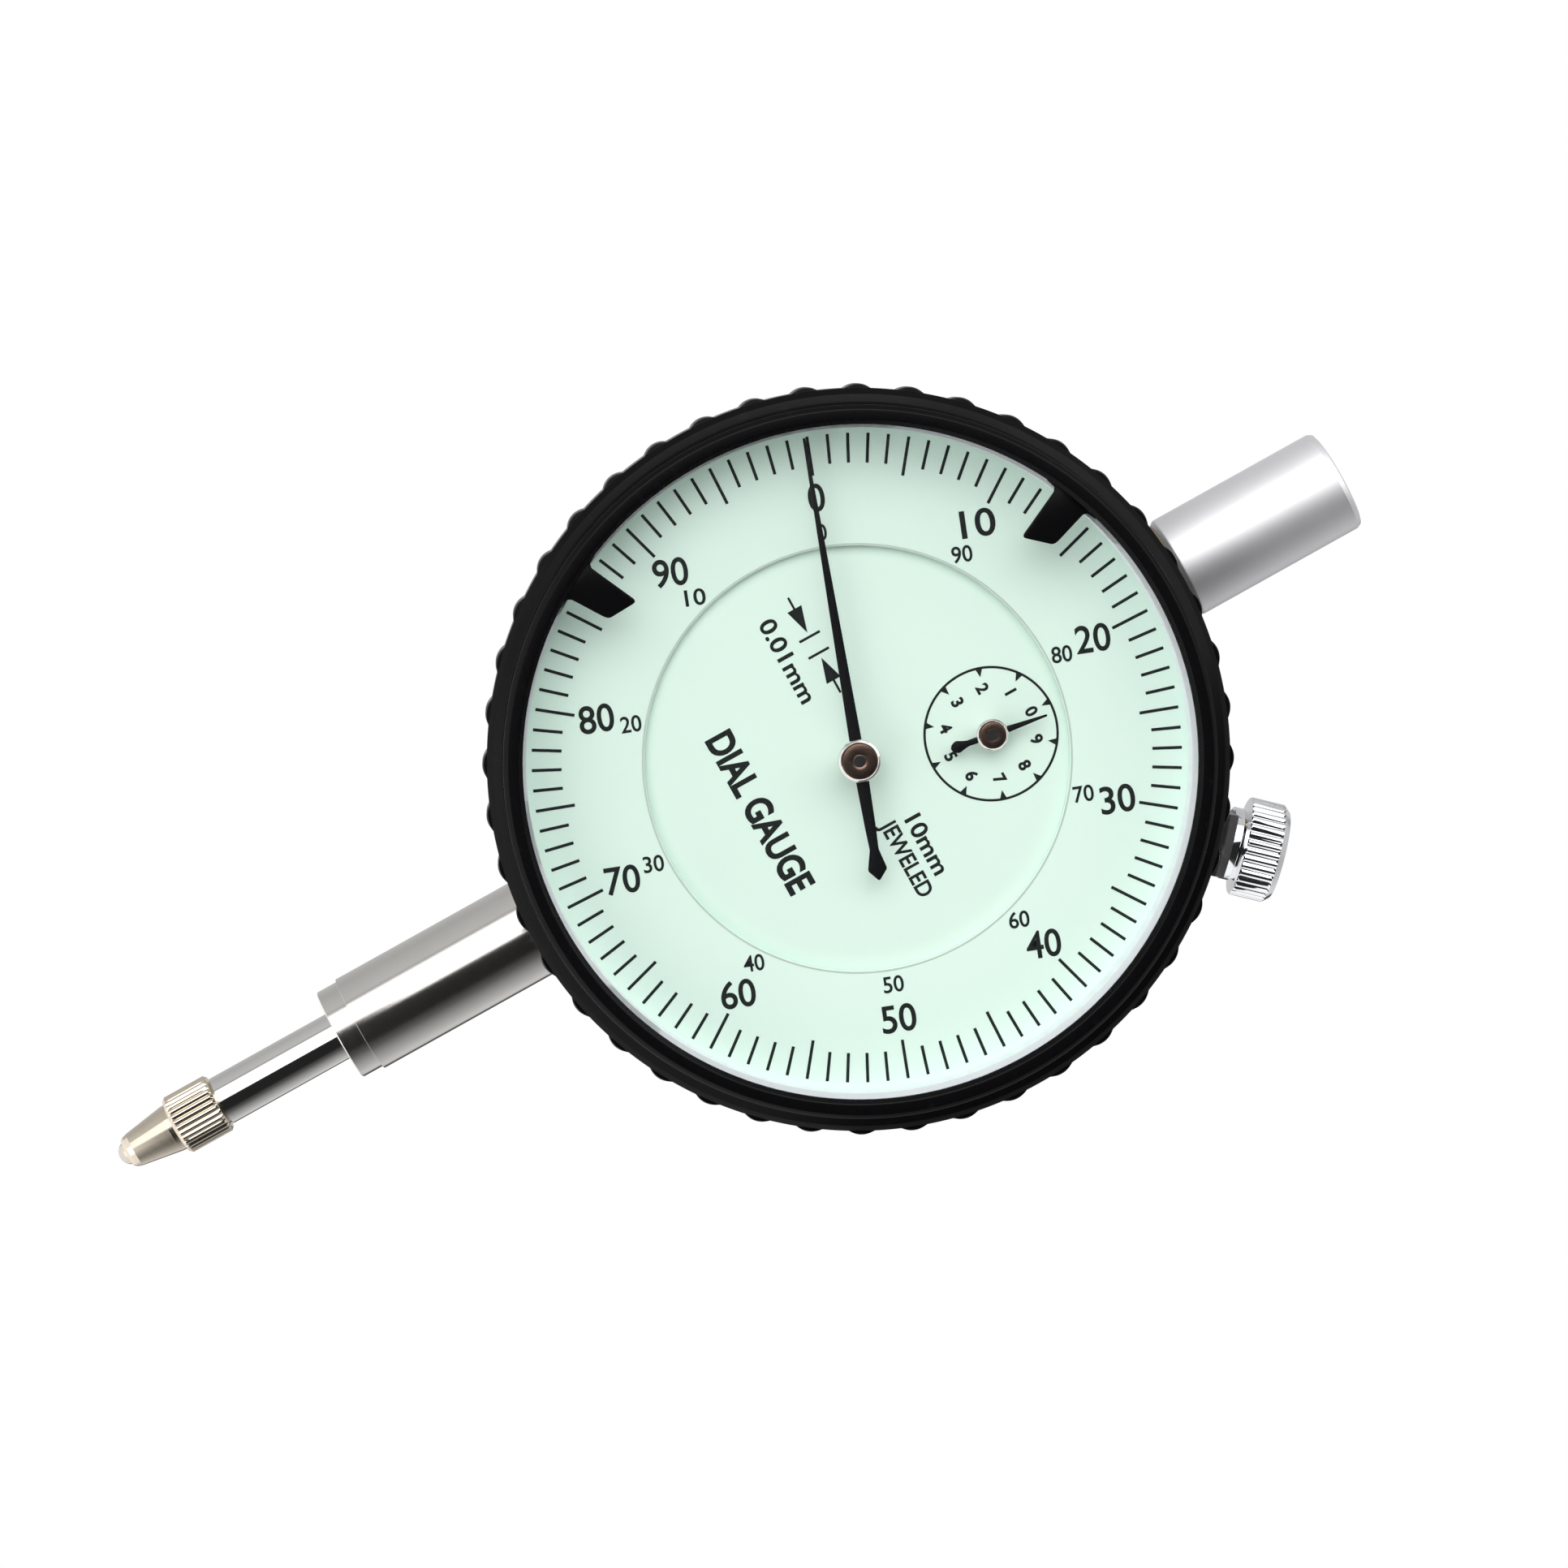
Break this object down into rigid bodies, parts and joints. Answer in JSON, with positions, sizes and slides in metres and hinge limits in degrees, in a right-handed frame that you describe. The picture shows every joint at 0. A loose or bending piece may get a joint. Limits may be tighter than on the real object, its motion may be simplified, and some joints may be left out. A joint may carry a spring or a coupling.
{
  "type": "dial indicator",
  "caption": "Plunger dial indicator with turning bezel and dial, limit markers, two hands, rack and gear train, clamping stem, dust cap and lug back.",
  "frame": {"origin": "middle of the clamping stem's straight wall, on the spindle's axis", "axes": "+Z along the spindle towards the dust cap, the dial faces -Y, +X to the right of the dial seen from the front"},
  "size_m": [0.0578, 0.0371, 0.1101],
  "materials": {
    "case_body": "satin black stoved paint on the die-cast case",
    "cover_paint": "satin black",
    "fastener_steel": "turned steel",
    "gasket_rubber": "black seal",
    "stem_steel": "ground and satin finished",
    "bushing_bronze": "bronze",
    "brass": "satin brass",
    "cap_aluminium": "satin turned aluminium",
    "buffer_nylon": "natural nylon",
    "blued_steel": "blued",
    "ruby": "synthetic ruby",
    "spring_steel": "spring wire",
    "dial_enamel": "pale mint satin enamel",
    "bezel_black": "smooth gloss black",
    "crystal_clear": "clear acrylic",
    "spacer_white": "white",
    "marker_black": "black",
    "spindle_steel": "ground and polished",
    "contact_nickel": "champagne nickel plate",
    "ball_carbide": "polished",
    "pinion_steel": "polished",
    "pointer_black": "black anodised",
    "hub_nickel": "bright polished rim",
    "clamp_black": "black oxide",
    "knob_chrome": "bright chrome plate"
  },
  "bodies": {
    "case_body": {"case": "case_body", "back_cover": "cover_paint", "back_cover_screws": "fastener_steel", "back_gasket": "gasket_rubber", "stem": "stem_steel", "stem_bushings": "bushing_bronze", "upper_bushing": "brass", "dust_cap": "cap_aluminium", "spindle_buffer": "buffer_nylon", "gear_bridge": "brass", "bridge_pillars": "brass", "bridge_screws": "blued_steel", "pinion_bridge": "brass", "pinion_bridge_pillars": "brass", "pinion_bridge_screws": "blued_steel", "front_jewels": "ruby", "rear_jewels": "ruby", "guide_rail": "fastener_steel", "guide_rail_screws": "blued_steel", "spring_anchor": "fastener_steel", "return_spring": "spring_steel", "hairspring": "blued_steel", "hairspring_stud": "brass", "inner_dial": "dial_enamel", "bezel_snap_ring": "spring_steel"},
    "bezel_body": {"bezel": "bezel_black", "crystal": "crystal_clear", "crystal_spacer": "spacer_white", "outer_dial": "dial_enamel"},
    "left_marker": {"limit_marker_left": "marker_black"},
    "right_marker": {"limit_marker_right": "marker_black"},
    "spindle_body": {"spindle": "spindle_steel", "spindle_stop": "fastener_steel", "guide_pin": "fastener_steel", "contact_point": "contact_nickel", "contact_ball": "ball_carbide"},
    "rack_pinion_body": {"rack_pinion": "pinion_steel", "rack_gear": "brass"},
    "long_hand": {"centre_pinion": "pinion_steel", "main_pointer": "pointer_black", "main_pointer_hub": "hub_nickel"},
    "short_hand": {"take_up_arbor": "pinion_steel", "take_up_gear": "brass", "hairspring_collet": "brass", "small_pointer": "pointer_black", "small_pointer_hub": "hub_nickel"},
    "clamp_plate_body": {"clamp_plate": "clamp_black"},
    "clamp_screw_body": {"clamp_screw": "knob_chrome"}
  },
  "joints": [
    {"name": "spindle_slide", "type": "slide", "parent": "case_body", "child": "spindle_body", "axis": [0, 0, 1], "range_m": [0, 0.0107], "stiffness_N_per_m": 60, "springref_m": -0.01, "deforming": ["return_spring"]},
    {"name": "rack_pinion_spin", "type": "hinge", "parent": "case_body", "child": "rack_pinion_body", "pos_m": [-0.0034, 0, 0.0255], "axis": [0, 1, 0], "range_deg": [-400, 10]},
    {"name": "long_hand_spin", "type": "hinge", "parent": "case_body", "child": "long_hand", "pos_m": [0, 0, 0.0355], "axis": [0, 1, 0], "range_deg": [-100, 4000]},
    {"name": "short_hand_spin", "type": "hinge", "parent": "case_body", "child": "short_hand", "pos_m": [0.0034, 0, 0.0455], "axis": [0, 1, 0], "range_deg": [-400, 10]},
    {"name": "bezel_turn", "type": "hinge", "parent": "case_body", "child": "bezel_body", "pos_m": [0, 0, 0.0355], "axis": [0, 1, 0], "continuous": true},
    {"name": "left_marker_turn", "type": "hinge", "parent": "bezel_body", "child": "left_marker", "pos_m": [0, 0, 0.0355], "axis": [0, 1, 0], "range_deg": [-40, 40]},
    {"name": "right_marker_turn", "type": "hinge", "parent": "bezel_body", "child": "right_marker", "pos_m": [0, 0, 0.0355], "axis": [0, 1, 0], "range_deg": [-40, 40]},
    {"name": "clamp_screw_turn", "type": "hinge", "parent": "clamp_plate_body", "child": "clamp_screw_body", "pos_m": [0, -0.0015, 0.0355], "axis": [0.6794, 0, 0.7337], "range_deg": [-5, 545]},
    {"name": "clamp_plate_travel", "type": "slide", "parent": "case_body", "child": "clamp_plate_body", "axis": [0.6794, 0, 0.7337], "range_m": [0, 0.00075]}
  ],
  "couplings": [
    {"joint": "rack_pinion_spin", "follows": "spindle_slide", "rad_per_m": -628.32},
    {"joint": "long_hand_spin", "follows": "spindle_slide", "rad_per_m": 6283.2},
    {"joint": "short_hand_spin", "follows": "spindle_slide", "rad_per_m": -628.32},
    {"joint": "clamp_screw_turn", "follows": "clamp_plate_travel", "rad_per_m": 12566}
  ]
}
